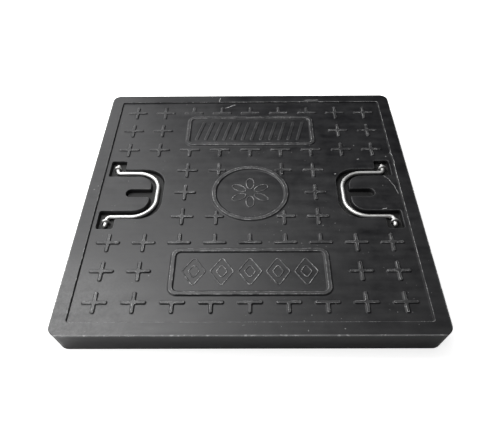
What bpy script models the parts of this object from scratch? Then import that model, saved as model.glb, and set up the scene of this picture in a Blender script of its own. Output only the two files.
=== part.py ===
"""Square composite manhole cover with two lifting handles that lie flush in its top.

Metres, +Z up. The origin is the centre of the underside, the top border is at z = THICKNESS, and
the handles lie along +X and -X. The cover is one moulding: a deck with a raised border, anti-slip
crosses and framed panels above, and a grid of ribs below. Steel bars reinforce the ribs. Each handle
is a bent wire whose ends turn in two staples that are anchored in the deck.
"""
import bpy
import bmesh
from math import cos, pi, radians, sin, tau
from mathutils import Matrix, Vector

# --- the moulding -----------------------------------------------------------
SIDE = 0.500
THICKNESS = 0.040
SIDE_DRAFT = 0.0044          # how far each side leans in between the top and the underside
CORNER_RADIUS = 0.0143
BORDER_WIDTH = 0.020
FIELD_DEPTH = 0.0028         # the field lies this far below the border
BORDER_SLOPE = 0.0018        # run of the border's sloping inner wall
BEAD_HEIGHT = 0.0024         # height of the frames above the field
CROSS_HEIGHT = 0.0020        # height of the anti-slip crosses above the field

TOP = THICKNESS
FIELD = TOP - FIELD_DEPTH

# --- anti-slip crosses ------------------------------------------------------
CROSS_PITCH = 0.050
CROSS_REACH = 0.0165         # centre to the end of an arm
CROSS_WIDTH = 0.0046         # of an arm at the middle of the cross
CROSS_TIP_WIDTH = 0.0038
GRID_REACH = 4               # the grid of crosses runs this many rows and columns each way from the centre
PANEL_COLUMNS = 2            # columns each way that the panels and the medallion take up
PANEL_ROW = 3                # the row that each panel lies over
HANDLE_ROWS = 1              # rows each way that the handles take up

# --- framed panels and medallion --------------------------------------------
BEAD_WIDTH = 0.0085
PANEL_Y = 0.150              # centre of each panel, above and below the medallion
PANEL_HALF_LENGTH = 0.1052   # centre of the panel to the middle of its bead
PANEL_HALF_HEIGHT = 0.0360
PANEL_RADIUS = 0.010
MEDALLION_RADIUS = 0.0558    # to the middle of its bead

# --- ribs and bars ----------------------------------------------------------
CELLS = 9                    # cells along each side of the underside
CELL_PITCH = 0.053
RIB_WIDTH = 0.012            # at the underside
CELL_DRAFT = 0.001           # how far each cell wall leans in up to the ceiling
CEILING = 0.022
ANCHOR_CEILING = 0.010       # cells under the staples are shallow, so the staples hold in solid material
BAR_DIAMETER = 0.006
BAR_LENGTH = 0.476
BAR_X_HEIGHT = 0.0065        # axis of the bars along X
BAR_Y_HEIGHT = 0.0145        # axis of the bars along Y, which cross above them
TUNNEL_CLEARANCE = 0.0004
PIN_HOLE_DIAMETER = 0.005    # left by the mould pins that hold the bars up while the cover is moulded
PIN_HOLE_REACH = 3 * CELL_PITCH

# --- handles and their staples ----------------------------------------------
WIRE_DIAMETER = 0.006
WIRE_HEIGHT = 0.0335         # axis of the wire as the handle lies in its recess
PIVOT_X = 0.2118             # axis of the handle's two pins
GRIP_X = 0.1428              # axis of the grip
LEG_Y = 0.0471
PIN_TIP_Y = 0.0665
GRIP_RADIUS = 0.035
ELBOW_RADIUS = 0.0065
STAPLE_WIRE = 0.003
STAPLE_Y = 0.0574
STAPLE_CLEARANCE = 0.00035   # between the pin and the staple that holds it
STAPLE_FOOT = 0.016          # height of the lower ends of a staple's legs
STAPLE_HOLE_CLEARANCE = 0.0004
STAPLE_REACH = (WIRE_DIAMETER + STAPLE_WIRE) / 2 + STAPLE_CLEARANCE

# --- recess of a handle -----------------------------------------------------
RECESS_FLOOR = 0.0302
CHANNEL_GRIP_X = 0.1335      # wall of the channel beyond the grip
CHANNEL_Y = 0.0535           # wall of the channel beyond the legs
CHANNEL_RADIUS = 0.033
LAND_X = 0.1535              # edge of the raised land inside the handle
LAND_Y = 0.0373
LAND_RADIUS = 0.022
SLOT_END_X = 0.1905          # finger slot in the land
SLOT_HALF_WIDTH = 0.0085
SLOT_RADIUS = 0.0080
POCKET_X = (0.1990, 0.2235)  # pocket around the pin and staple
POCKET_Y = 0.0730
POCKET_RADIUS = 0.003

# --- how finely the shapes are made -----------------------------------------
OVERSHOOT = 0.001            # how far a cutter or a raised shape passes a surface it crosses
WELD_DISTANCE = 1e-6
CORNER_SEGMENTS = 6          # of a rounded corner
RING_SEGMENTS = 40
ROD_FACETS = 12
PIN_HOLE_FACETS = 8
GRIP_SEGMENTS = 8            # of each bend beside a handle's grip
ELBOW_SEGMENTS = 5           # of each bend beside a handle's pin
BOW_SEGMENTS = 8             # of a staple's arch
WIRE_RESOLUTION = 2
SMOOTH_ANGLE = radians(40)

FROM_UPRIGHT = {             # turns an upright rod to lie along an axis
    "X": Matrix.Rotation(pi / 2, 4, "Y"),
    "Y": Matrix.Rotation(pi / 2, 4, "X"),
    "Z": Matrix(),
}


def clear_scene():
    for item in list(bpy.data.objects):
        bpy.data.objects.remove(item, do_unlink=True)


def new_collection(name):
    collection = bpy.data.collections.new(name)
    bpy.context.scene.collection.children.link(collection)
    return collection


def new_material(name, colour, roughness, metallic):
    material = bpy.data.materials.new(name)
    material.use_nodes = True
    shader = material.node_tree.nodes["Principled BSDF"]
    shader.inputs["Base Color"].default_value = (*colour, 1.0)
    shader.inputs["Roughness"].default_value = roughness
    shader.inputs["Metallic"].default_value = metallic
    material.diffuse_color = (*colour, 1.0)
    return material


clear_scene()
PARTS = new_collection("manhole_cover")
CUTTERS = new_collection("cutters")
COMPOSITE = new_material("composite", (0.035, 0.035, 0.037), 0.38, 0.0)
STAINLESS = new_material("stainless_steel", (0.72, 0.72, 0.70), 0.22, 1.0)
BAR_STEEL = new_material("bar_steel", (0.30, 0.28, 0.27), 0.50, 1.0)


# --- helpers ----------------------------------------------------------------
def fillet(corners):
    """The outline through (x, y, radius) corners, each rounded with an arc of its radius."""
    outline = []
    for index, (x, y, radius) in enumerate(corners):
        corner = Vector((x, y))
        before = Vector(corners[index - 1][:2]) - corner
        after = Vector(corners[(index + 1) % len(corners)][:2]) - corner
        if radius == 0:
            outline.append(corner)
            continue
        half_angle = before.angle(after) / 2
        bisector = (before.normalized() + after.normalized()).normalized()
        centre = corner + bisector * radius / sin(half_angle)
        start = corner + before.normalized() * radius * cos(half_angle) / sin(half_angle) - centre
        end = corner + after.normalized() * radius * cos(half_angle) / sin(half_angle) - centre
        turn = start.angle_signed(end)
        for step in range(CORNER_SEGMENTS + 1):
            spoke = start.copy()
            spoke.rotate(Matrix.Rotation(-turn * step / CORNER_SEGMENTS, 2))
            outline.append(centre + spoke)
    return outline


def circle(radius):
    angles = [tau * step / RING_SEGMENTS for step in range(RING_SEGMENTS)]
    return [Vector((radius * cos(angle), radius * sin(angle))) for angle in angles]


def rectangle(centre_y, half_length, half_height, radius):
    corners = [(half_length, half_height), (-half_length, half_height),
               (-half_length, -half_height), (half_length, -half_height)]
    return fillet([(x, centre_y + y, radius) for x, y in corners])


def as_helper(item):
    item.hide_render = True
    item.display_type = "WIRE"
    return item


def prism(name, outlines, low, high):
    """A helper solid between two heights; an outline that lies inside another is a hole in it."""
    curve = bpy.data.curves.new(name, "CURVE")
    curve.dimensions = "2D"
    curve.fill_mode = "BOTH"
    curve.extrude = (high - low) / 2
    for outline in outlines:
        spline = curve.splines.new("POLY")
        spline.points.add(len(outline) - 1)
        for point, (x, y) in zip(spline.points, outline):
            point.co = (x, y, 0.0, 1.0)
        spline.use_cyclic_u = True
    guide = bpy.data.objects.new(name + "_curve", curve)
    guide.location.z = (high + low) / 2
    CUTTERS.objects.link(guide)
    bpy.context.view_layer.update()
    evaluated = guide.evaluated_get(bpy.context.evaluated_depsgraph_get())
    solid = bpy.data.objects.new(name, bpy.data.meshes.new_from_object(evaluated))
    solid.matrix_world = guide.matrix_world.copy()
    bpy.data.objects.remove(guide, do_unlink=True)
    weld(solid.data)
    CUTTERS.objects.link(solid)
    return as_helper(solid)


def weld(mesh):
    shape = bmesh.new()
    shape.from_mesh(mesh)
    bmesh.ops.remove_doubles(shape, verts=shape.verts, dist=WELD_DISTANCE)
    bmesh.ops.recalc_face_normals(shape, faces=shape.faces)
    shape.to_mesh(mesh)
    shape.free()


def add_block(shape, centre, low, high, low_half, high_half):
    """Adds a square block whose half width runs from low_half to high_half."""
    made = bmesh.ops.create_cube(shape, size=2.0)["verts"]
    for vertex in made:
        half, height = (high_half, high) if vertex.co.z > 0 else (low_half, low)
        vertex.co = Vector((centre[0] + vertex.co.x * half, centre[1] + vertex.co.y * half, height))
    return made


def add_rod(shape, centre, axis, length, radius, facets):
    place = Matrix.Translation(centre) @ FROM_UPRIGHT[axis]
    bmesh.ops.create_cone(shape, cap_ends=True, segments=facets, radius1=radius, radius2=radius,
                          depth=length, matrix=place)


def mesh_object(name, shape, collection, material=None):
    bmesh.ops.recalc_face_normals(shape, faces=shape.faces)
    mesh = bpy.data.meshes.new(name)
    shape.to_mesh(mesh)
    shape.free()
    item = bpy.data.objects.new(name, mesh)
    collection.objects.link(item)
    if material:
        mesh.materials.append(material)
    return item


def combine(target, operation, tool):
    modifier = target.modifiers.new(operation.lower() + "_" + tool.name, "BOOLEAN")
    modifier.operation = operation
    modifier.object = tool
    modifier.solver = "EXACT"


def wire(name, points, diameter, location):
    """A bent stainless wire through the points, which are counted from its own origin at location."""
    curve = bpy.data.curves.new(name, "CURVE")
    curve.dimensions = "3D"
    curve.bevel_depth = diameter / 2
    curve.bevel_resolution = WIRE_RESOLUTION
    curve.use_fill_caps = True
    spline = curve.splines.new("POLY")
    spline.points.add(len(points) - 1)
    for point, place in zip(spline.points, points):
        point.co = (*place, 1.0)
    curve.materials.append(STAINLESS)
    item = bpy.data.objects.new(name, curve)
    item.location = location
    PARTS.objects.link(item)
    return item


def arc(centre, radius, start, end, segments):
    angles = [radians(start + (end - start) * step / segments) for step in range(segments + 1)]
    return [(centre[0] + radius * cos(angle), centre[1] + radius * sin(angle)) for angle in angles]


# --- the moulding -----------------------------------------------------------
def slab():
    shape = bmesh.new()
    add_block(shape, (0.0, 0.0), 0.0, TOP, SIDE / 2 - SIDE_DRAFT, SIDE / 2)
    upright = [edge for edge in shape.edges if abs(edge.verts[0].co.z - edge.verts[1].co.z) > TOP / 2]
    bmesh.ops.bevel(shape, geom=upright, offset=CORNER_RADIUS, segments=CORNER_SEGMENTS, profile=0.5,
                    affect="EDGES")
    return mesh_object("cover_body", shape, PARTS, COMPOSITE)


def field_cutter():
    """Lowers the field inside the border, which slopes down to it."""
    shape = bmesh.new()
    border_edge = SIDE / 2 - BORDER_WIDTH
    slope = BORDER_SLOPE / FIELD_DEPTH
    add_block(shape, (0.0, 0.0), FIELD, TOP + OVERSHOOT,
              border_edge - BORDER_SLOPE, border_edge + OVERSHOOT * slope)
    return as_helper(mesh_object("field", shape, CUTTERS))


def frames():
    """The beads around the two panels and the medallion."""
    half = BEAD_WIDTH / 2
    outlines = []
    for centre_y in (PANEL_Y, -PANEL_Y):
        for grow in (half, -half):
            outlines.append(rectangle(centre_y, PANEL_HALF_LENGTH + grow, PANEL_HALF_HEIGHT + grow,
                                      PANEL_RADIUS + grow))
    outlines.append(circle(MEDALLION_RADIUS + half))
    outlines.append(circle(MEDALLION_RADIUS - half))
    return prism("frames", outlines, FIELD - OVERSHOOT, FIELD + BEAD_HEIGHT)


def cross_outline(x, y, arms):
    """A cross at (x, y) with the arms that are named, each one of the directions in turn."""
    outline = []
    half = CROSS_WIDTH / 2
    tip = CROSS_TIP_WIDTH / 2
    for turn, direction in enumerate(("right", "up", "left", "down")):
        reach = CROSS_REACH if direction in arms else half
        if reach > half:
            corners = [(reach, -tip), (reach, tip)]
        else:
            corners = []
        corners.append((half, half))
        for along, across in corners:
            spot = Vector((along, across))
            spot.rotate(Matrix.Rotation(pi / 2 * turn, 2))
            outline.append(Vector((x, y)) + spot)
    return outline


def cross_arms(column, row):
    """Which arms the cross in a column and row of the pitch grid has; none where it has no cross."""
    whole = ("right", "up", "left", "down")
    if abs(column) > PANEL_COLUMNS:
        return () if abs(row) <= HANDLE_ROWS else whole
    if abs(row) == PANEL_ROW:
        return ()
    if abs(row) == PANEL_ROW + 1:
        return ("right", "left", "up" if row > 0 else "down")
    if abs(row) == PANEL_ROW - 1:
        return ("right", "left", "down" if row > 0 else "up")
    inside_medallion = column == 0 or (abs(column) == 1 and row == 0)
    return () if inside_medallion else whole


def crosses():
    outlines = []
    lines = range(-GRID_REACH, GRID_REACH + 1)
    for column in lines:
        for row in lines:
            arms = cross_arms(column, row)
            if arms:
                outlines.append(cross_outline(column * CROSS_PITCH, row * CROSS_PITCH, arms))
    return prism("crosses", outlines, FIELD - OVERSHOOT, FIELD + CROSS_HEIGHT)


def recess_outline(side):
    """The handle's channel and pin pockets, around a land that has a finger slot."""
    near, far = POCKET_X
    upper = [(far, LAND_Y, POCKET_RADIUS), (far, POCKET_Y, POCKET_RADIUS), (near, POCKET_Y, POCKET_RADIUS),
             (near, CHANNEL_Y, POCKET_RADIUS), (CHANNEL_GRIP_X, CHANNEL_Y, CHANNEL_RADIUS)]
    lower = [(x, -y, radius) for x, y, radius in reversed(upper)]
    land = [(LAND_X, -LAND_Y, LAND_RADIUS), (LAND_X, -SLOT_HALF_WIDTH, 0),
            (SLOT_END_X, -SLOT_HALF_WIDTH, SLOT_RADIUS), (SLOT_END_X, SLOT_HALF_WIDTH, SLOT_RADIUS),
            (LAND_X, SLOT_HALF_WIDTH, 0), (LAND_X, LAND_Y, LAND_RADIUS)]
    return fillet([(side * x, y, radius) for x, y, radius in upper + lower + land])


def recesses():
    return prism("recesses", [recess_outline(1), recess_outline(-1)], RECESS_FLOOR, TOP + OVERSHOOT)


def cell_centres():
    steps = [index - (CELLS - 1) / 2 for index in range(CELLS)]
    return [(x * CELL_PITCH, y * CELL_PITCH) for x in steps for y in steps]


def holds_staple(centre):
    half = CELL_PITCH / 2
    return abs(abs(centre[0]) - PIVOT_X) < half and abs(abs(centre[1]) - STAPLE_Y) < half


def cells():
    shape = bmesh.new()
    opening = (CELL_PITCH - RIB_WIDTH) / 2
    slope = CELL_DRAFT / CEILING
    for centre in cell_centres():
        ceiling = ANCHOR_CEILING if holds_staple(centre) else CEILING
        add_block(shape, centre, -OVERSHOOT, ceiling, opening + OVERSHOOT * slope, opening - ceiling * slope)
    return as_helper(mesh_object("cells", shape, CUTTERS))


def rib_places():
    """Where the ribs between the cells run, as distances from the centre."""
    return [(index - (CELLS - 2) / 2) * CELL_PITCH for index in range(CELLS - 1)]


def tunnels():
    """The space around each bar."""
    shape = bmesh.new()
    length = BAR_LENGTH + 2 * TUNNEL_CLEARANCE
    radius = BAR_DIAMETER / 2 + TUNNEL_CLEARANCE
    for place in rib_places():
        add_rod(shape, (0.0, place, BAR_X_HEIGHT), "X", length, radius, ROD_FACETS)
        add_rod(shape, (place, 0.0, BAR_Y_HEIGHT), "Y", length, radius, ROD_FACETS)
    return as_helper(mesh_object("tunnels", shape, CUTTERS))


def pin_holes():
    """The mould's support pins leave two holes under each bar."""
    shape = bmesh.new()
    for place in rib_places():
        for along in (-PIN_HOLE_REACH, PIN_HOLE_REACH):
            for x, y, height in ((along, place, BAR_X_HEIGHT), (place, along, BAR_Y_HEIGHT)):
                centre = (x, y, (height - OVERSHOOT) / 2)
                add_rod(shape, centre, "Z", height + OVERSHOOT, PIN_HOLE_DIAMETER / 2, PIN_HOLE_FACETS)
    return as_helper(mesh_object("pin_holes", shape, CUTTERS))


def staple_holes():
    shape = bmesh.new()
    low = STAPLE_FOOT - STAPLE_HOLE_CLEARANCE
    high = RECESS_FLOOR + OVERSHOOT
    radius = STAPLE_WIRE / 2 + STAPLE_HOLE_CLEARANCE
    for side_x in (-1, 1):
        for side_y in (-1, 1):
            for reach in (-STAPLE_REACH, STAPLE_REACH):
                centre = (side_x * PIVOT_X + reach, side_y * STAPLE_Y, (low + high) / 2)
                add_rod(shape, centre, "Z", high - low, radius, ROD_FACETS)
    return as_helper(mesh_object("staple_holes", shape, CUTTERS))


def cover_body():
    body = slab()
    combine(body, "DIFFERENCE", field_cutter())
    combine(body, "UNION", frames())
    combine(body, "UNION", crosses())
    combine(body, "DIFFERENCE", recesses())
    combine(body, "DIFFERENCE", cells())
    combine(body, "DIFFERENCE", tunnels())
    combine(body, "DIFFERENCE", pin_holes())
    combine(body, "DIFFERENCE", staple_holes())


# --- steel ------------------------------------------------------------------
def bar(name, centre, axis):
    shape = bmesh.new()
    add_rod(shape, (0.0, 0.0, 0.0), axis, BAR_LENGTH, BAR_DIAMETER / 2, ROD_FACETS)
    item = mesh_object(name, shape, PARTS, BAR_STEEL)
    item.location = centre
    item.data.shade_smooth()
    item.data.set_sharp_from_angle(angle=SMOOTH_ANGLE)


def bars():
    for number, place in enumerate(rib_places(), start=1):
        bar(f"bar_x_{number}", (0.0, place, BAR_X_HEIGHT), "X")
        bar(f"bar_y_{number}", (place, 0.0, BAR_Y_HEIGHT), "Y")


def handle(name, side):
    """The wire from pin tip to pin tip; its origin is midway between the pins, on their axis."""
    grip = PIVOT_X - GRIP_X
    elbow = arc((ELBOW_RADIUS, LEG_Y + ELBOW_RADIUS), ELBOW_RADIUS, 180, 270, ELBOW_SEGMENTS)
    corner = arc((grip - GRIP_RADIUS, LEG_Y - GRIP_RADIUS), GRIP_RADIUS, 90, 0, GRIP_SEGMENTS)
    half = [(0.0, PIN_TIP_Y)] + elbow + corner
    path = half + [(x, -y) for x, y in reversed(half)]
    points = [(-side * x, y, 0.0) for x, y in path]
    wire(name, points, WIRE_DIAMETER, (side * PIVOT_X, 0.0, WIRE_HEIGHT))


def staple(name, side_x, side_y):
    """The inverted U over a pin; its origin is on the pin's axis."""
    foot = STAPLE_FOOT - WIRE_HEIGHT
    bow = arc((0.0, 0.0), STAPLE_REACH, 180, 0, BOW_SEGMENTS)
    path = [(-STAPLE_REACH, foot)] + bow + [(STAPLE_REACH, foot)]
    points = [(x, 0.0, z) for x, z in path]
    wire(name, points, STAPLE_WIRE, (side_x * PIVOT_X, side_y * STAPLE_Y, WIRE_HEIGHT))


def handles():
    for word_x, side_x in (("left", -1), ("right", 1)):
        handle(f"handle_{word_x}", side_x)
        for word_y, side_y in (("front", -1), ("rear", 1)):
            staple(f"staple_{word_x}_{word_y}", side_x, side_y)


cover_body()
bars()
handles()
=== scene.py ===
"""Looks of a square composite manhole cover with two lifting handles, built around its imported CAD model.

Metres, +Z up, in the model's own frame: the origin is the centre of the underside and the handles lie
along X. The moulding, the two handles and the four staples are made here as fine surfaces in place of
their CAD solids. The steel bars inside the ribs keep their CAD solids and get a finish.

The moulding's top and its underside are reliefs: each is a set of closed contour lines at known heights
that are joined up by a triangulation. Every raised or sunk feature is an outline with a profile, which
says how high the surface is at each distance in from that outline.
"""

from math import cos, pi, radians, sin, tan, tau

import bmesh
import bpy
from mathutils import Matrix, Vector
from mathutils.geometry import delaunay_2d_cdt


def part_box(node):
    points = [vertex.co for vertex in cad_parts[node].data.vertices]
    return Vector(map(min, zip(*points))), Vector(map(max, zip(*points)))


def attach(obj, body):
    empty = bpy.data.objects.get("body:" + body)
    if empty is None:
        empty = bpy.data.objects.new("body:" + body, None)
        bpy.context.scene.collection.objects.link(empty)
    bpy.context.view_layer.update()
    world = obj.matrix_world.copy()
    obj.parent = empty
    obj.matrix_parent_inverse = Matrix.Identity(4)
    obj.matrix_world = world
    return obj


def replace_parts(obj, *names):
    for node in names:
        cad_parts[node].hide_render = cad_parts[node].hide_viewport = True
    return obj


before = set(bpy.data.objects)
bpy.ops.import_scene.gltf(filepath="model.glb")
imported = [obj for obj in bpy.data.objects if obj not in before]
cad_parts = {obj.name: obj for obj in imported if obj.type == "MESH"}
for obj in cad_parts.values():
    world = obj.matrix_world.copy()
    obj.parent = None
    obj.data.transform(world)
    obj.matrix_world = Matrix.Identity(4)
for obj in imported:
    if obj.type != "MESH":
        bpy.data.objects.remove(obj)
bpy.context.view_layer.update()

MM = 0.001

# --- sizes of the moulding, with its outer ones from its CAD node -----------
HALF_SIDE, _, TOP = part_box("cover_body")[1]
SIDE_DRAFT = 4.4 * MM           # how far each side leans in between the top and the underside
CORNER_RADIUS = 14.3 * MM
TOP_EDGE = 1.2 * MM             # radius of the edge between the top and the sides
FOOT_EDGE = 1.0 * MM
BORDER_WIDTH = 20 * MM
BORDER_RADIUS = 3 * MM          # of the corners of the field inside the border
BORDER_DRAFT = 1.0 * MM
BORDER_RIM = 0.4 * MM
BORDER_FOOT = 0.3 * MM
FIELD_DEPTH = 2.8 * MM
FIELD = TOP - FIELD_DEPTH
HOLD = 0.5 * MM                 # a flat stretch kept level beside each rounded edge
LEAST_RADIUS = 0.15 * MM        # of an outline's corners
WALL_LINES = (0.12, 0.88)       # where a pit's wall has its contours, as shares of its drop

# --- raised shapes, and wear with painted highlight from 0 for none to 1 ----
RISE = (                        # (share of the slope, share of the height, wear and painted highlight) up a raised shape
    (0.0, 0.0, 0.0),
    (0.15, 0.06, 0.0),
    (0.5, 0.5, 0.0),
    (0.85, 0.94, 0.9),
    (1.0, 1.0, 1.0),
)
CREST_EDGE = 0.55 * MM          # how far in from its edge a crest is rubbed most and carries most painted highlight
CREST_WEAR_AND_HIGHLIGHT = 0.35               # how much a crest is rubbed and carries painted highlight inside that
# rims of pits are rubbed and carry a painted highlight along their rounded edge
RIM_WEAR_AND_HIGHLIGHT = 1.0
RECESS_RIM_WEAR_AND_HIGHLIGHT = 0.5               # rub and painted highlight of the rims of the handles' recesses

# --- raised features of the field -------------------------------------------
CROSS_PITCH = 50 * MM
CROSS_REACH = 17.2 * MM
SHORT_REACH = 11.9 * MM         # of the arms that would run into the medallion
CROSS_HALF = 3.25 * MM          # half the width of an arm at its foot
CROSS_SLOPE = 2.0 * MM
CROSS_HEIGHT = 1.9 * MM
CROSS_TIP_RADIUS = 2.9 * MM
CROSS_INNER_RADIUS = 0.9 * MM
GRID_REACH = 4
PANEL_COLUMNS = 2
PANEL_ROW = 3
HANDLE_ROWS = 1

BEAD_HALF = 4.5 * MM            # half the width of a frame's bead at its foot
BEAD_CREST = 1.9 * MM           # half the width of its flat top
BEAD_HEIGHT = 2.1 * MM
PANEL_Y = 150 * MM
PANEL_HALF_LENGTH = 105.2 * MM
PANEL_HALF_HEIGHT = 36 * MM
PANEL_RADIUS = 10 * MM
MEDALLION_RADIUS = 55.5 * MM

# --- motifs -----------------------------------------------------------------
BARS = 12
BAR_PITCH = 15.5 * MM
BAR_HALF_WIDTH = 3.3 * MM
BAR_HALF_LENGTH = 25 * MM
BAR_LEAN = 6 * MM               # how far to the side a bar's ends are of its middle
BAR_RADIUS = 2.6 * MM
BAR_SLOPE = 1.3 * MM
BAR_HEIGHT = 0.9 * MM
BAR_WEAR_AND_HIGHLIGHT = 0.5                  # as a share of another raised shape's
LINE_HALF = 1.1 * MM            # half the width of the raised line of the others at its foot
LINE_CREST = 0.30 * MM
LINE_HEIGHT = 0.6 * MM
PETALS = 6
PETAL_PLACE = 19.5 * MM         # of a petal's centre from the medallion's
PETAL_HALF_LENGTH = 11.5 * MM
PETAL_HALF_WIDTH = 6 * MM
DIAMONDS = 5
DIAMOND_PITCH = 38 * MM
DIAMOND_SIZES = ((16 * MM, 24 * MM), (7.5 * MM, 11.5 * MM))     # half width and half height of each
DIAMOND_RADIUS = 3 * MM

# --- handles, with their other sizes from their CAD nodes -------------------
LEG_Y = 47.1 * MM
GRIP_RADIUS = 35 * MM
ELBOW_RADIUS = 6.5 * MM

# --- recess of a handle -----------------------------------------------------
RECESS_DEPTH = 7.0 * MM
RECESS_DRAFT = 1.4 * MM
RECESS_EDGE = 0.8 * MM          # radius of its rim and its foot
CHANNEL_GRIP_X = 133.5 * MM
CHANNEL_Y = 53.5 * MM
CHANNEL_RADIUS = 33 * MM
LAND_X = 153.5 * MM
LAND_Y = 37.3 * MM
LAND_RADIUS = 22 * MM
SLOT_END_X = 190.5 * MM
SLOT_HALF_WIDTH = 8.5 * MM
SLOT_RADIUS = 8.0 * MM
SLOT_MOUTH_RADIUS = 1.2 * MM
POCKET_X = (199 * MM, 223.5 * MM)
POCKET_Y = 73 * MM
POCKET_RADIUS = 3.2 * MM
STAPLE_HOLE_DEPTH = 14.3 * MM
STAPLE_HOLE_DRAFT = 0.05 * MM
STAPLE_HOLE_EDGE = 0.15 * MM
STAPLE_HOLE_GAP = 0.25 * MM     # round a staple's leg

# --- ribs of the underside --------------------------------------------------
CELLS = 9
CELL_PITCH = 53 * MM
RIB_WIDTH = 12 * MM
CELL_DRAFT = 1.0 * MM
CELL_RADIUS = 4 * MM
CELL_RIM = 0.8 * MM
CELL_FOOT = 2 * MM
CEILING = 22 * MM
ANCHOR_CEILING = 10 * MM        # of the cells below the staples
PIN_HOLE_RADIUS = 2.5 * MM
PIN_HOLE_DRAFT = 0.1 * MM
PIN_HOLE_RIM = 0.3 * MM
PIN_HOLE_FOOT = 0.2 * MM
PIN_HOLE_REACH = 3 * CELL_PITCH

# --- marks of use -----------------------------------------------------------
FRESH_CORNER = (-230 * MM, 230 * MM, TOP)       # the least trodden
DUSTY_CORNER = (-235 * MM, -245 * MM, TOP)
SCRATCHES = (                   # (from, to, width) of the marks dragged across the top
    ((-46 * MM, 216 * MM), (-26 * MM, 225 * MM), 1.5 * MM),
    ((209 * MM, 39 * MM), (217 * MM, 28 * MM), 0.8 * MM),
    ((216 * MM, 29 * MM), (223 * MM, 14 * MM), 0.8 * MM),
    ((222.5 * MM, 16 * MM), (226 * MM, -4 * MM), 0.9 * MM),
    ((229 * MM, 94 * MM), (231.5 * MM, 60 * MM), 0.7 * MM),
    ((230.5 * MM, 62 * MM), (230 * MM, 12 * MM), 0.6 * MM),
    ((173 * MM, 74.4 * MM), (177 * MM, 74.8 * MM), 1.6 * MM),
    ((220 * MM, 82.2 * MM), (222 * MM, 82.5 * MM), 1.2 * MM),
    ((133 * MM, 40.8 * MM), (136 * MM, 41.0 * MM), 1.0 * MM),
    ((96 * MM, 235 * MM), (124 * MM, 236 * MM), 1.4 * MM),
    ((-55 * MM, 243 * MM), (-55 * MM, 230 * MM), 1.2 * MM),
    ((196 * MM, -35 * MM), (204 * MM, -33 * MM), 1.2 * MM),
)


# --- outlines ---------------------------------------------------------------
def rounded(corners, inset=0.0, steps=6):
    """The outline through (x, y, radius) corners, anticlockwise, moved in by inset, with an arc at each."""
    outline = []
    for index, (x, y, radius) in enumerate(corners):
        corner = Vector((x, y))
        arriving = (corner - Vector(corners[index - 1][:2])).normalized()
        leaving = (Vector(corners[(index + 1) % len(corners)][:2]) - corner).normalized()
        normal = Vector((-arriving.y, arriving.x))
        next_normal = Vector((-leaving.y, leaving.x))
        turn = -arriving.angle_signed(leaving)
        side = 1 if turn > 0 else -1
        radius = max(radius - side * inset, LEAST_RADIUS)
        corner += (normal + next_normal) * inset / (1 + normal.dot(next_normal))
        start = corner - arriving * radius * tan(abs(turn) / 2)
        centre = start + normal * radius * side
        for step in range(steps + 1):
            spoke = start - centre
            spoke.rotate(Matrix.Rotation(turn * step / steps, 2))
            outline.append(centre + spoke)
    return outline


def box_corners(centre_x, centre_y, half_x, half_y, radius):
    signs = ((1, -1), (1, 1), (-1, 1), (-1, -1))
    return [(centre_x + across * half_x, centre_y + along * half_y, radius) for across, along in signs]


def polygon(corners, steps=6):
    return lambda inset: rounded(corners, inset, steps)


def oval(centre, half_length, half_width, angle, points=32):
    """An ellipse whose long axis is turned by angle."""
    def shape(inset):
        outline = []
        for step in range(points):
            spot = Vector(((half_length - inset) * cos(tau * step / points),
                           (half_width - inset) * sin(tau * step / points)))
            spot.rotate(Matrix.Rotation(angle, 2))
            outline.append(Vector(centre) + spot)
        return outline
    return shape


def disc(centre, radius, points=16):
    return oval(centre, radius, radius, 0.0, points)


def cross(x, y, reaches):
    """A cross at (x, y) whose arms reach so far right, up, left and down; 0 leaves an arm out."""
    corners = []
    for turn, reach in enumerate(reaches):
        quarter = []
        if reach:
            quarter += [(reach, -CROSS_HALF, CROSS_TIP_RADIUS), (reach, CROSS_HALF, CROSS_TIP_RADIUS)]
        if reach and reaches[(turn + 1) % 4]:
            quarter.append((CROSS_HALF, CROSS_HALF, CROSS_INNER_RADIUS))
        for along, across, radius in quarter:
            spot = Vector((along, across))
            spot.rotate(Matrix.Rotation(pi / 2 * turn, 2))
            corners.append((x + spot.x, y + spot.y, radius))
    return polygon(corners, 4)


# --- profiles: (distance in from the outline, height or depth, wear) --------
def swell(slope, height):
    """A raised shape that rises from its outline to a level top, which is rubbed and carries a painted
    highlight most at its edge.
    """
    rise = [(slope * share, height * level, wear_and_highlight) for share, level, wear_and_highlight in RISE]
    return [(-HOLD, 0.0, 0.0)] + rise + [(slope + CREST_EDGE, height, CREST_WEAR_AND_HIGHLIGHT)]


def band(half, crest, height):
    """A raised band along its outline, with a level crest."""
    rise = [(inset - half, level, wear_and_highlight)
            for inset, level, wear_and_highlight in swell(half - crest, height) if inset <= half]
    return rise + [(-inset, level, wear_and_highlight) for inset, level, wear_and_highlight in reversed(rise) if inset < 0]


def pit(depth, draft, rim, foot, rim_wear_and_highlight=RIM_WEAR_AND_HIGHLIGHT):
    """A sunk shape: a rounded rim, a wall that leans in by draft, and a rounded foot."""
    turns = [radians(angle) for angle in (0, 30, 60, 90)]
    steps = [(-rim - HOLD, 0.0, 0.0)]
    # the rounded rim carries rub and a painted highlight
    steps += [(rim * (sin(turn) - 1), rim * (1 - cos(turn)), rim_wear_and_highlight) for turn in turns]
    for share in WALL_LINES:
        steps.append((draft * share, rim + (depth - rim - foot) * share, 0.0))
    steps += [(draft + foot * (1 - cos(turn)), depth - foot * (1 - sin(turn)), 0.0) for turn in turns]
    steps.append((draft + foot + HOLD, depth, 0.0))
    return steps


WHOLE_OUTLINE = 0               # the kind of triangulation that fills everything inside the outermost line
SAME_SPOT = 1e-7                # points nearer to each other than this, in metres, are taken as one


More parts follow.
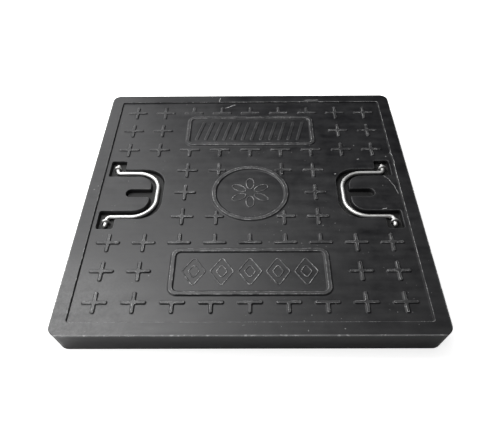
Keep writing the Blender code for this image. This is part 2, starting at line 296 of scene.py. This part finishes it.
class Relief:
    """A surface with one height at each place, kept as contour lines."""

    def __init__(self):
        self.spots = []
        self.levels = []
        self.lines = []

    def contour(self, outline, height, wear_and_highlight=0.0):
        first = len(self.spots)
        count = len(outline)
        self.spots += outline
        self.levels += [(height, wear_and_highlight)] * count
        self.lines += [(first + step, first + (step + 1) % count) for step in range(count)]

    def feature(self, shape, profile, base, upward=1):
        for inset, level, wear_and_highlight in profile:
            self.contour(shape(inset), base + upward * level, wear_and_highlight)

    def add_to(self, mesh, facing):
        """Adds the surface to a bmesh; facing is 1 for a top and -1 for an underside."""
        spots, _, triangles, sources, _, _ = delaunay_2d_cdt(
            self.spots, self.lines, [], WHOLE_OUTLINE, SAME_SPOT)
        wear_and_highlight_layer = mesh.verts.layers.float["wear_and_highlight"]
        made = []
        for spot, source in zip(spots, sources):
            if not source:
                raise ValueError(f"two contours cross near {spot.x:.4f}, {spot.y:.4f}")
            height, wear_and_highlight = self.levels[source[0]]
            vertex = mesh.verts.new((spot.x, spot.y, height))
            vertex[wear_and_highlight_layer] = wear_and_highlight
            made.append(vertex)
        for triangle in triangles:
            mesh.faces.new([made[index] for index in triangle[::facing]])


# --- the moulding -----------------------------------------------------------
def cross_reaches(column, row):
    """How far the arms of the cross in a column and row of the pitch grid reach; None for no cross."""
    right, up, left, down = [CROSS_REACH] * 4
    if abs(column) > PANEL_COLUMNS:
        return None if abs(row) <= HANDLE_ROWS else (right, up, left, down)
    if abs(row) == PANEL_ROW or column == 0 and abs(row) <= 1 or abs(column) == 1 and row == 0:
        return None
    if abs(row) == PANEL_ROW + 1:
        return (right, up, left, 0) if row > 0 else (right, 0, left, down)
    if abs(row) == PANEL_ROW - 1:
        return (right, 0, left, down) if row > 0 else (right, up, left, 0)
    if abs(column) == 1:
        right, left = (right, SHORT_REACH) if column > 0 else (SHORT_REACH, left)
        up, down = (up, SHORT_REACH) if row > 0 else (SHORT_REACH, down)
    return (right, up, left, down)


def add_crosses(top):
    profile = swell(CROSS_SLOPE, CROSS_HEIGHT)
    lines = range(-GRID_REACH, GRID_REACH + 1)
    for column in lines:
        for row in lines:
            reaches = cross_reaches(column, row)
            if reaches:
                top.feature(cross(column * CROSS_PITCH, row * CROSS_PITCH, reaches), profile, FIELD)


def add_frames(top):
    """The beads round the two panels and the medallion."""
    profile = band(BEAD_HALF, BEAD_CREST, BEAD_HEIGHT)
    for centre_y in (PANEL_Y, -PANEL_Y):
        corners = box_corners(0.0, centre_y, PANEL_HALF_LENGTH, PANEL_HALF_HEIGHT, PANEL_RADIUS)
        top.feature(polygon(corners, 8), profile, FIELD)
    top.feature(disc((0.0, 0.0), MEDALLION_RADIUS, 96), profile, FIELD)


def add_bars(top):
    """A row of slanted solid bars in the upper panel."""
    profile = [(inset, level, wear_and_highlight * BAR_WEAR_AND_HIGHLIGHT) for inset, level, wear_and_highlight in swell(BAR_SLOPE, BAR_HEIGHT)]
    for step in range(BARS):
        middle = (step - (BARS - 1) / 2) * BAR_PITCH
        corners = []
        for across, along in ((-1, -1), (1, -1), (1, 1), (-1, 1)):
            x = middle + across * BAR_HALF_WIDTH + along * BAR_LEAN
            corners.append((x, PANEL_Y + along * BAR_HALF_LENGTH, BAR_RADIUS))
        top.feature(polygon(corners), profile, FIELD)


def add_rosette(top, line):
    """Petals in raised line on the medallion."""
    for step in range(PETALS):
        angle = (step + 0.5) * tau / PETALS
        centre = (PETAL_PLACE * cos(angle), PETAL_PLACE * sin(angle))
        top.feature(oval(centre, PETAL_HALF_LENGTH, PETAL_HALF_WIDTH, angle), line, FIELD)


def add_diamonds(top, line):
    """A row of nested diamonds in raised line in the lower panel."""
    for step in range(DIAMONDS):
        middle = (step - (DIAMONDS - 1) / 2) * DIAMOND_PITCH
        for half_width, half_height in DIAMOND_SIZES:
            tips = [(half_width, 0.0), (0.0, half_height), (-half_width, 0.0), (0.0, -half_height)]
            corners = [(middle + x, y - PANEL_Y, DIAMOND_RADIUS) for x, y in tips]
            top.feature(polygon(corners), line, FIELD)


def recess_corners(side):
    """The handle's channel and pin pockets, round a land that has a finger slot; side is 1 or -1."""
    near, far = POCKET_X
    upper = [(far, LAND_Y, POCKET_RADIUS), (far, POCKET_Y, POCKET_RADIUS), (near, POCKET_Y, POCKET_RADIUS),
             (near, CHANNEL_Y, POCKET_RADIUS), (CHANNEL_GRIP_X, CHANNEL_Y, CHANNEL_RADIUS)]
    land = [(LAND_X, LAND_Y, LAND_RADIUS), (LAND_X, SLOT_HALF_WIDTH, SLOT_MOUTH_RADIUS),
            (SLOT_END_X, SLOT_HALF_WIDTH, SLOT_RADIUS)]
    corners = upper + [(x, -y, radius) for x, y, radius in reversed(upper)]
    corners += [(x, -y, radius) for x, y, radius in land] + list(reversed(land))
    placed = [(side * x, y, radius) for x, y, radius in corners]
    return placed if side > 0 else placed[::-1]


def add_recesses(top):
    wall = pit(RECESS_DEPTH, RECESS_DRAFT, RECESS_EDGE, RECESS_EDGE, RECESS_RIM_WEAR_AND_HIGHLIGHT)
    hole = pit(STAPLE_HOLE_DEPTH, STAPLE_HOLE_DRAFT, STAPLE_HOLE_EDGE, STAPLE_HOLE_EDGE, 0.0)
    hole = [step for step in hole if step[0] > -HOLD]
    for side in (1, -1):
        top.feature(polygon(recess_corners(side), 8), wall, FIELD, -1)
    for node in STAPLES:
        low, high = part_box(node)
        radius = (high.y - low.y) / 2
        for foot_x in (low.x + radius, high.x - radius):
            shape = disc((foot_x, (low.y + high.y) / 2), radius + STAPLE_HOLE_GAP)
            top.feature(shape, hole, FIELD - RECESS_DEPTH, -1)


def edge_loops():
    """The sides, as (half width, corner radius, height, wear and painted highlight) from the top face to the
    underside.
    """
    turns = [radians(angle) for angle in (0, 22.5, 45, 67.5, 90)]
    loops = []
    # both rounded edges carry rub and a painted highlight, most halfway round them
    for turn in turns:
        loops.append((TOP_EDGE * (1 - sin(turn)), TOP - TOP_EDGE * (1 - cos(turn)), sin(2 * turn)))
    for height in (TOP - TOP_EDGE - HOLD, FOOT_EDGE + HOLD):
        loops.append((0.0, height, 0.0))
    for turn in turns:
        loops.append((FOOT_EDGE * (1 - cos(turn)), FOOT_EDGE * (1 - sin(turn)), sin(2 * turn)))
    return [(HALF_SIDE - SIDE_DRAFT * (TOP - height) / TOP - inset, CORNER_RADIUS - inset, height, wear_and_highlight)
            for inset, height, wear_and_highlight in loops]


def square(half, radius):
    """The cover's own outline at that half width and corner radius."""
    return polygon(box_corners(0.0, 0.0, half, half, radius), 10)


def add_sides(mesh, loops):
    """Joins the loops of the sides, from the top face to the underside."""
    wear_and_highlight_layer = mesh.verts.layers.float["wear_and_highlight"]
    previous = None
    for half, radius, height, wear_and_highlight in loops:
        ring = [mesh.verts.new((spot.x, spot.y, height)) for spot in square(half, radius)(0.0)]
        for vertex in ring:
            vertex[wear_and_highlight_layer] = wear_and_highlight
        if previous:
            for index in range(len(ring)):
                after = (index + 1) % len(ring)
                mesh.faces.new((previous[index], ring[index], ring[after], previous[after]))
        previous = ring


def level_relief(outer):
    """A relief that is still level, inside the first or the last loop of the sides."""
    half, radius, height, _ = outer
    relief = Relief()
    for inset in (0.0, HOLD):
        relief.contour(square(half, radius)(inset), height)
    return relief


def top_relief(outer):
    """The top: the border, all that stands on the field, and the handles' recesses."""
    top = level_relief(outer)
    border_step = pit(FIELD_DEPTH, BORDER_DRAFT, BORDER_RIM, BORDER_FOOT)
    top.feature(square(HALF_SIDE - BORDER_WIDTH, BORDER_RADIUS), border_step, TOP, -1)
    add_crosses(top)
    add_frames(top)
    add_bars(top)
    line = band(LINE_HALF, LINE_CREST, LINE_HEIGHT)
    add_rosette(top, line)
    add_diamonds(top, line)
    add_recesses(top)
    return top


def cell_centres():
    steps = [index - (CELLS - 1) / 2 for index in range(CELLS)]
    return [Vector((x * CELL_PITCH, y * CELL_PITCH)) for x in steps for y in steps]


def holds_staple(centre):
    """Whether a staple's legs come down over the cell at that centre."""
    half = CELL_PITCH / 2
    for node in STAPLES:
        low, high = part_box(node)
        middle = (low + high) / 2
        if abs(middle.x - centre.x) < half and abs(middle.y - centre.y) < half:
            return True
    return False


def under_relief(outer):
    """The underside: the cells between the ribs, and the holes left by the pins that held the bars."""
    under = level_relief(outer)
    opening = (CELL_PITCH - RIB_WIDTH) / 2
    for centre in cell_centres():
        ceiling = ANCHOR_CEILING if holds_staple(centre) else CEILING
        corners = box_corners(centre.x, centre.y, opening, opening, CELL_RADIUS)
        under.feature(polygon(corners, 5), pit(ceiling, CELL_DRAFT, CELL_RIM, CELL_FOOT), 0.0)
    for number in range(1, CELLS):
        for name, along_x in ((f"bar_x_{number}", True), (f"bar_y_{number}", False)):
            low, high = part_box(name)
            middle = (low + high) / 2
            hole = pit(middle.z, PIN_HOLE_DRAFT, PIN_HOLE_RIM, PIN_HOLE_FOOT)
            for along in (-PIN_HOLE_REACH, PIN_HOLE_REACH):
                centre = (along, middle.y) if along_x else (middle.x, along)
                under.feature(disc(centre, PIN_HOLE_RADIUS), hole, 0.0)
    return under


def cover():
    """The moulding as one closed mesh."""
    loops = edge_loops()
    shape = bmesh.new()
    shape.verts.layers.float.new("wear_and_highlight")
    top_relief(loops[0]).add_to(shape, 1)
    under_relief(loops[-1]).add_to(shape, -1)
    add_sides(shape, loops)
    bmesh.ops.remove_doubles(shape, verts=shape.verts, dist=0.001 * MM)
    mesh = bpy.data.meshes.new("cover")
    shape.to_mesh(mesh)
    shape.free()
    mesh.shade_smooth()
    return place(bpy.data.objects.new("cover", mesh), "cover", "composite", "cover_body")


# --- wires ------------------------------------------------------------------
def arc(centre, radius, start, end, steps):
    angles = [radians(start + (end - start) * step / steps) for step in range(steps + 1)]
    return [Vector((centre[0] + radius * cos(angle), centre[1] + radius * sin(angle))) for angle in angles]


def wire(name, path, radius, round_ends):
    """A bent wire of that radius along a path of points, with rounded ends if they show."""
    turns = [radians(angle) for angle in (75, 60, 45, 30, 15)] if round_ends else []
    first = (path[0] - path[1]).normalized() * radius
    last = (path[-1] - path[-2]).normalized() * radius
    start = path[0] - first
    end = path[-1] - last
    points = [(start + first * sin(turn), cos(turn)) for turn in turns] + [(start, 1.0)]
    points += [(spot, 1.0) for spot in path[1:-1]]
    points += [(end, 1.0)] + [(end + last * sin(turn), cos(turn)) for turn in reversed(turns)]
    curve = bpy.data.curves.new(name, "CURVE")
    curve.dimensions = "3D"
    curve.bevel_depth = radius
    curve.bevel_resolution = 8
    curve.use_fill_caps = True
    spline = curve.splines.new("POLY")
    spline.points.add(len(points) - 1)
    for point, (spot, share) in zip(spline.points, points):
        point.co = (*spot, 1.0)
        point.radius = share
    return bpy.data.objects.new(name, curve)


def handle(side, node):
    """The wire from pin tip to pin tip, as it lies in its recess."""
    low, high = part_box(node)
    radius = (high.z - low.z) / 2
    pivot_x = side * (max(abs(low.x), abs(high.x)) - radius)
    grip = max(abs(low.x), abs(high.x)) - min(abs(low.x), abs(high.x)) - 2 * radius
    elbow = arc((ELBOW_RADIUS, LEG_Y + ELBOW_RADIUS), ELBOW_RADIUS, 180, 270, 10)
    corner = arc((grip - GRIP_RADIUS, LEG_Y - GRIP_RADIUS), GRIP_RADIUS, 90, 0, 24)
    half = [Vector((0.0, high.y))] + elbow + corner
    flat = half + [Vector((spot.x, -spot.y)) for spot in reversed(half)]
    path = [Vector((pivot_x - side * spot.x, spot.y, low.z + radius)) for spot in flat]
    return wire(node + "_wire", path, radius, True)


def staple(node):
    """The arch over a pin, with both legs down in the moulding."""
    low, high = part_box(node)
    radius = (high.y - low.y) / 2
    reach = (high.x - low.x) / 2 - radius
    centre = Vector(((low.x + high.x) / 2, (low.y + high.y) / 2, high.z - radius - reach))
    bow = [Vector((spot.x, 0.0, spot.y)) for spot in arc((0.0, 0.0), reach, 180, 0, 20)]
    foot = low.z - centre.z
    path = [Vector((-reach, 0.0, foot))] + bow + [Vector((reach, 0.0, foot))]
    return wire(node + "_wire", [centre + spot for spot in path], radius, False)


def place(piece, body, slot, node):
    """Puts a piece in the scene, on its body, in its finish and in place of its CAD node."""
    bpy.context.scene.collection.objects.link(piece)
    piece.data.materials.append(FINISHES[slot])
    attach(piece, body)
    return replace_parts(piece, node)


# --- finishes ---------------------------------------------------------------
BLACK = (0.005, 0.005, 0.006, 1.0)
HAZE = (0.020, 0.020, 0.021, 1.0)
PAINTED_SHADE = (0.003, 0.003, 0.003, 1.0)              # painted shade, down in the recesses and the cells
DUST = (0.09, 0.09, 0.09, 1.0)
# grey of rubbed crests and rims, which also stands for a painted highlight along their rounded edges
RUB_AND_HIGHLIGHT_GREY = (0.09, 0.09, 0.091, 1.0)
# grey of bare marks, and of a painted highlight line along the top's outer edge
BARE_AND_EDGE_HIGHLIGHT_GREY = (0.38, 0.38, 0.38, 1.0)
WIRE_GREY = (0.54, 0.54, 0.53, 1.0)
WIRE_BRIGHT = (0.68, 0.68, 0.67, 1.0)
STEEL = (0.22, 0.21, 0.20, 1.0)
RUST = (0.16, 0.065, 0.030, 1.0)
SCRATCH_TAPER = 0.1                             # share of a scratch's length in which it starts or ends


class Nodes:
    """A material's node tree, with short ways to add and join its nodes."""

    def __init__(self, name):
        self.material = bpy.data.materials.new(name)
        self.material.use_nodes = True
        self.tree = self.material.node_tree
        self.shader = self.tree.nodes["Principled BSDF"]
        self.position = self.add("ShaderNodeTexCoord").outputs["Object"]

    def add(self, kind, inputs=None, **settings):
        node = self.tree.nodes.new(kind)
        for key, value in settings.items():
            setattr(node, key, value)
        for key, value in (inputs or {}).items():
            self.put(node.inputs[key], value)
        return node

    def put(self, socket, value):
        if isinstance(value, bpy.types.NodeSocket):
            self.tree.links.new(value, socket)
        else:
            socket.default_value = value

    def shade(self, inputs):
        """Puts values on the shader's inputs and returns the material."""
        for key, value in inputs.items():
            self.put(self.shader.inputs[key], value)
        return self.material

    def math(self, operation, first, second=0.0):
        return self.add("ShaderNodeMath", {0: first, 1: second}, operation=operation).outputs[0]

    def product(self, *values):
        result = values[0]
        for value in values[1:]:
            result = self.math("MULTIPLY", result, value)
        return result

    def noise(self, scale, detail=4.0, roughness=0.5, position=None):
        """Smooth noise; scale is in features per metre."""
        inputs = {"Scale": scale, "Detail": detail, "Roughness": roughness}
        inputs["Vector"] = position or self.position
        return self.add("ShaderNodeTexNoise", inputs).outputs["Fac"]

    def span(self, value, low, high, out_low=0.0, out_high=1.0):
        """The value's place between low and high, as a share from out_low to out_high."""
        inputs = {"Value": value, "From Min": low, "From Max": high, "To Min": out_low, "To Max": out_high}
        return self.add("ShaderNodeMapRange", inputs).outputs["Result"]

    def stretched(self, scale):
        """The position with each axis scaled on its own, for streaks; the scales are features per metre."""
        return self.add("ShaderNodeMapping", {"Vector": self.position, "Scale": scale}).outputs["Vector"]

    def distance_from(self, spot):
        node = self.add("ShaderNodeVectorMath", {0: self.position, 1: spot}, operation="DISTANCE")
        return node.outputs["Value"]

    def mix(self, share, first, second):
        node = self.add("ShaderNodeMix", {"Factor": share}, data_type="RGBA")
        self.put(node.inputs[6], first)
        self.put(node.inputs[7], second)
        return node.outputs[2]

    def bump(self, height, distance, normal=None):
        inputs = {"Height": height, "Distance": distance}
        if normal:
            inputs["Normal"] = normal
        return self.add("ShaderNodeBump", inputs).outputs["Normal"]

    def reach(self, x, y, direction):
        """How far (x, y) lies in a direction."""
        return self.math("ADD", self.math("MULTIPLY", x, direction.x), self.math("MULTIPLY", y, direction.y))


def scratch(nodes, x, y, first, last, width):
    """A broken scratch of that width from first to last, seen from above."""
    along = Vector(last) - Vector(first)
    length = along.length
    along.normalize()
    from_x = nodes.math("SUBTRACT", x, first[0])
    from_y = nodes.math("SUBTRACT", y, first[1])
    forward = nodes.reach(from_x, from_y, along)
    aside = nodes.reach(from_x, from_y, Vector((-along.y, along.x)))
    wander = nodes.math("ADD", aside, nodes.span(nodes.noise(60, 3), 0.3, 0.7, -width, width))
    across = nodes.span(nodes.math("ABSOLUTE", wander), width / 2, width / 4)
    start = nodes.span(forward, 0.0, length * SCRATCH_TAPER)
    end = nodes.span(forward, length, length * (1 - SCRATCH_TAPER))
    breaks = nodes.span(nodes.noise(300, 3, 0.6), 0.36, 0.52)
    return nodes.product(across, start, end, breaks)


def bare_marks_and_edge_highlight(nodes, x, y, z, outward, cloud):
    """Marks scraped bare on the top: chips along its edge, flecks and the scratches, with a painted
    highlight running unbroken along that edge under the chips.
    """
    edge = nodes.span(outward, HALF_SIDE - 2.2 * MM, HALF_SIDE - 0.8 * MM)
    near_top = nodes.span(z, TOP - 1.6 * MM, TOP - 0.8 * MM)
    # the chips never fade below 0.3, so an unbroken painted highlight runs along the top edge
    chips_and_edge_highlight = nodes.product(edge, near_top, nodes.span(nodes.noise(140, 5, 0.7), 0.56, 0.62, 0.3, 1.0))
    flecks = nodes.product(nodes.span(nodes.noise(240, 2), 0.72, 0.76), nodes.span(cloud, 0.50, 0.60), 0.5)
    marks_and_edge_highlight = nodes.math("MAXIMUM", flecks, chips_and_edge_highlight)
    for first, last, width in SCRATCHES:
        marks_and_edge_highlight = nodes.math("MAXIMUM", marks_and_edge_highlight, scratch(nodes, x, y, first, last, width))
    return nodes.math("MULTIPLY", marks_and_edge_highlight, nodes.span(z, FIELD - 1 * MM, FIELD - 0.5 * MM))


def composite():
    """Black moulded composite: satin and hazy, rubbed grey where the mesh says it wears, which also paints
    highlights on rounded crests and rims, with bare marks, a painted highlight along the top edge and
    painted shade down in the recesses.
    """
    nodes = Nodes("black_composite")
    x, y, z = nodes.add("ShaderNodeSeparateXYZ", {"Vector": nodes.position}).outputs
    outward = nodes.math("MAXIMUM", nodes.math("ABSOLUTE", x), nodes.math("ABSOLUTE", y))
    wear_and_highlight = nodes.add("ShaderNodeAttribute", attribute_name="wear_and_highlight").outputs["Fac"]

    cloud = nodes.noise(11, 4, 0.6)
    smudge = nodes.noise(55, 5, 0.6)
    drag = nodes.noise(1.0, 4, 0.55, nodes.stretched((10, 90, 90)))
    grain = nodes.noise(900, 3, 0.6)
    pits = nodes.noise(420, 5, 0.7)
    patches = nodes.noise(120, 3, 0.5)
    powder = nodes.noise(260, 5, 0.75)

    trodden = nodes.span(nodes.distance_from(FRESH_CORNER), 80 * MM, 300 * MM, 0.4, 1.0)
    # Rubbed grey, partly real wear and partly a painted highlight on rounded crest edges and rims.
    rub_and_highlight = nodes.product(wear_and_highlight, nodes.span(smudge, 0.36, 0.62, 0.25, 1.0), trodden)
    specks = nodes.product(nodes.span(wear_and_highlight, 0.75, 0.95), nodes.span(pits, 0.42, 0.56),
                           nodes.span(patches, 0.46, 0.58), trodden)
    # bare specks and marks, with the painted highlight along the top edge
    scraped_and_edge_highlight = nodes.math("MAXIMUM", specks, bare_marks_and_edge_highlight(nodes, x, y, z, outward, cloud))
    hazy = nodes.span(nodes.math("ADD", nodes.math("ADD", cloud, smudge), drag), 1.15, 1.85)
    # Painted shade: near black down in the handles' recesses, below the field and inside the border.
    painted_recess_shade = nodes.product(nodes.span(z, FIELD - 1 * MM, FIELD - RECESS_DEPTH),
                         nodes.span(z, CEILING, CEILING + 4 * MM),
                         nodes.span(outward, HALF_SIDE - 10 * MM, HALF_SIDE - BORDER_WIDTH))
    dusty = nodes.product(nodes.span(nodes.distance_from(DUSTY_CORNER), 130 * MM, 0.0),
                          nodes.span(powder, 0.35, 0.75, 0.15, 1.0), nodes.span(z, FIELD - 1 * MM, FIELD))

    colour = nodes.mix(hazy, BLACK, HAZE)
    for share, tone in ((painted_recess_shade, PAINTED_SHADE), (dusty, DUST), (rub_and_highlight, RUB_AND_HIGHLIGHT_GREY), (scraped_and_edge_highlight, BARE_AND_EDGE_HIGHLIGHT_GREY)):
        colour = nodes.mix(share, colour, tone)
    satin = nodes.math("ADD", nodes.span(hazy, 0.0, 1.0, 0.29, 0.44), nodes.math("MULTIPLY", rub_and_highlight, 0.15))
    swells = nodes.bump(nodes.noise(28, 2), 0.30 * MM)
    fine = nodes.bump(grain, 0.02 * MM, swells)
    return nodes.shade({
        "Base Color": colour,
        "Roughness": nodes.math("MAXIMUM", satin, nodes.math("MULTIPLY", painted_recess_shade, 0.6)),
        "Specular IOR Level": 0.30,
        "Normal": nodes.bump(nodes.math("MULTIPLY", pits, wear_and_highlight), 0.10 * MM, fine),
    })


def stainless():
    """Bright drawn stainless wire."""
    nodes = Nodes("stainless_wire")
    return nodes.shade({
        "Base Color": nodes.mix(nodes.noise(150, 4), WIRE_GREY, WIRE_BRIGHT),
        "Metallic": 1.0,
        "Roughness": nodes.span(nodes.noise(300, 3), 0.3, 0.7, 0.48, 0.56),
        "Normal": nodes.bump(nodes.noise(500, 2), 0.004 * MM),
    })


def bar_steel():
    """Dull rolled steel with a bloom of rust."""
    nodes = Nodes("bar_steel")
    rusty = nodes.span(nodes.noise(120, 6, 0.65), 0.45, 0.62)
    return nodes.shade({
        "Base Color": nodes.mix(rusty, STEEL, RUST),
        "Metallic": nodes.math("SUBTRACT", 1.0, rusty),
        "Roughness": nodes.span(rusty, 0.0, 1.0, 0.45, 0.85),
        "Normal": nodes.bump(nodes.noise(700, 4, 0.6), 0.05 * MM),
    })


# --- studio -----------------------------------------------------------------
CAMERA_PLACE = (4.8 * MM, -585.5 * MM, 618.2 * MM)
CAMERA_HEADING = 0.534          # degrees to the left of +Y
CAMERA_DIP = 47.91              # degrees below level
CAMERA_ROLL = -0.604            # degrees
LENS = 38.73                    # in millimetres, like the sensor's width
SENSOR = 36.0
WHITE = (1.0, 1.0, 1.0, 1.0)
FLOOR_HALF = 4.0
FLOOR_PAINT = (0.90, 0.90, 0.90, 1.0)
FLOOR_LIFT = 0.75               # what the camera sees of the floor is this much lighter
FILL = 0.05                     # strength of the surroundings' light
SOFTBOXES = (                   # name, bearing, elevation, distance, width, height, radiance
    ("key", -73, 54, 0.9, 0.50, 0.70, 6.2),
    ("front_left", -130, 20, 0.9, 0.50, 0.50, 3.0),
    ("low_left", -90, 20, 0.9, 0.50, 0.50, 1.6),
    ("low_back", -40, 22, 0.9, 0.50, 0.50, 2.0),
    ("back", -30, 50, 1.7, 1.00, 1.00, 2.1),
    ("top_left", -30, 65, 0.9, 0.50, 0.50, 2.1),
    ("top_back", -5, 65, 0.9, 0.50, 0.50, 0.8),
    ("overhead", 0, 85, 1.7, 2.20, 1.20, 1.1),
)


def floor():
    """A matt white floor that the cover lies on."""
    shape = bmesh.new()
    bmesh.ops.create_grid(shape, x_segments=1, y_segments=1, size=FLOOR_HALF)
    mesh = bpy.data.meshes.new("floor")
    shape.to_mesh(mesh)
    shape.free()
    item = bpy.data.objects.new("floor", mesh)
    bpy.context.scene.collection.objects.link(item)
    nodes = Nodes("floor_paint")
    seen = nodes.add("ShaderNodeLightPath").outputs["Is Camera Ray"]
    mesh.materials.append(nodes.shade({
        "Base Color": FLOOR_PAINT,
        "Roughness": 0.9,
        "Specular IOR Level": 0.0,
        "Emission Color": WHITE,
        "Emission Strength": nodes.math("MULTIPLY", seen, FLOOR_LIFT),
    }))


def softbox(name, bearing, elevation, distance, width, height, radiance):
    """A soft light aimed at the cover; its bearing is in degrees clockwise from +Y, seen from above."""
    light = bpy.data.lights.new(name, "AREA")
    light.shape = "RECTANGLE"
    light.size = width
    light.size_y = height
    light.energy = pi * width * height * radiance
    item = bpy.data.objects.new(name, light)
    flat = cos(radians(elevation))
    towards = Vector((sin(radians(bearing)) * flat, cos(radians(bearing)) * flat, sin(radians(elevation))))
    item.location = towards * distance
    item.rotation_mode = "QUATERNION"
    item.rotation_quaternion = (-towards).to_track_quat("-Z", "Y")
    bpy.context.scene.collection.objects.link(item)


def sky():
    """White where the camera sees it, and a weaker fill for everything else."""
    world = bpy.data.worlds.new("studio")
    world.use_nodes = True
    bpy.context.scene.world = world
    tree = world.node_tree
    tree.nodes["Background"].inputs["Color"].default_value = WHITE
    seen = tree.nodes.new("ShaderNodeLightPath").outputs["Is Camera Ray"]
    strength = tree.nodes.new("ShaderNodeMapRange")
    strength.inputs["To Min"].default_value = FILL
    tree.links.new(seen, strength.inputs["Value"])
    tree.links.new(strength.outputs["Result"], tree.nodes["Background"].inputs["Strength"])


def camera():
    """A steep view down onto the cover from the front."""
    data = bpy.data.cameras.new("camera")
    data.lens = LENS
    data.sensor_width = SENSOR
    item = bpy.data.objects.new("camera", data)
    turn = Matrix.Rotation(radians(CAMERA_HEADING), 4, "Z")
    tilt = Matrix.Rotation(radians(90 - CAMERA_DIP), 4, "X")
    roll = Matrix.Rotation(radians(CAMERA_ROLL), 4, "Z")
    item.matrix_world = Matrix.Translation(CAMERA_PLACE) @ turn @ tilt @ roll
    bpy.context.scene.collection.objects.link(item)
    bpy.context.scene.camera = item


STAPLES = sorted(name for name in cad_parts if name.startswith("staple_"))
FINISHES = {"composite": composite(), "stainless": stainless(), "bar_steel": bar_steel()}
bpy.context.scene.view_settings.view_transform = "Standard"

camera()
floor()
sky()
for box in SOFTBOXES:
    softbox(*box)

cover()
for word, side in (("left", -1), ("right", 1)):
    place(handle(side, f"handle_{word}"), f"{word}_handle", "stainless", f"handle_{word}")
for node in STAPLES:
    place(staple(node), "cover", "stainless", node)
for name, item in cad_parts.items():
    if name.startswith("bar_"):
        item.data.materials.clear()
        item.data.materials.append(FINISHES["bar_steel"])
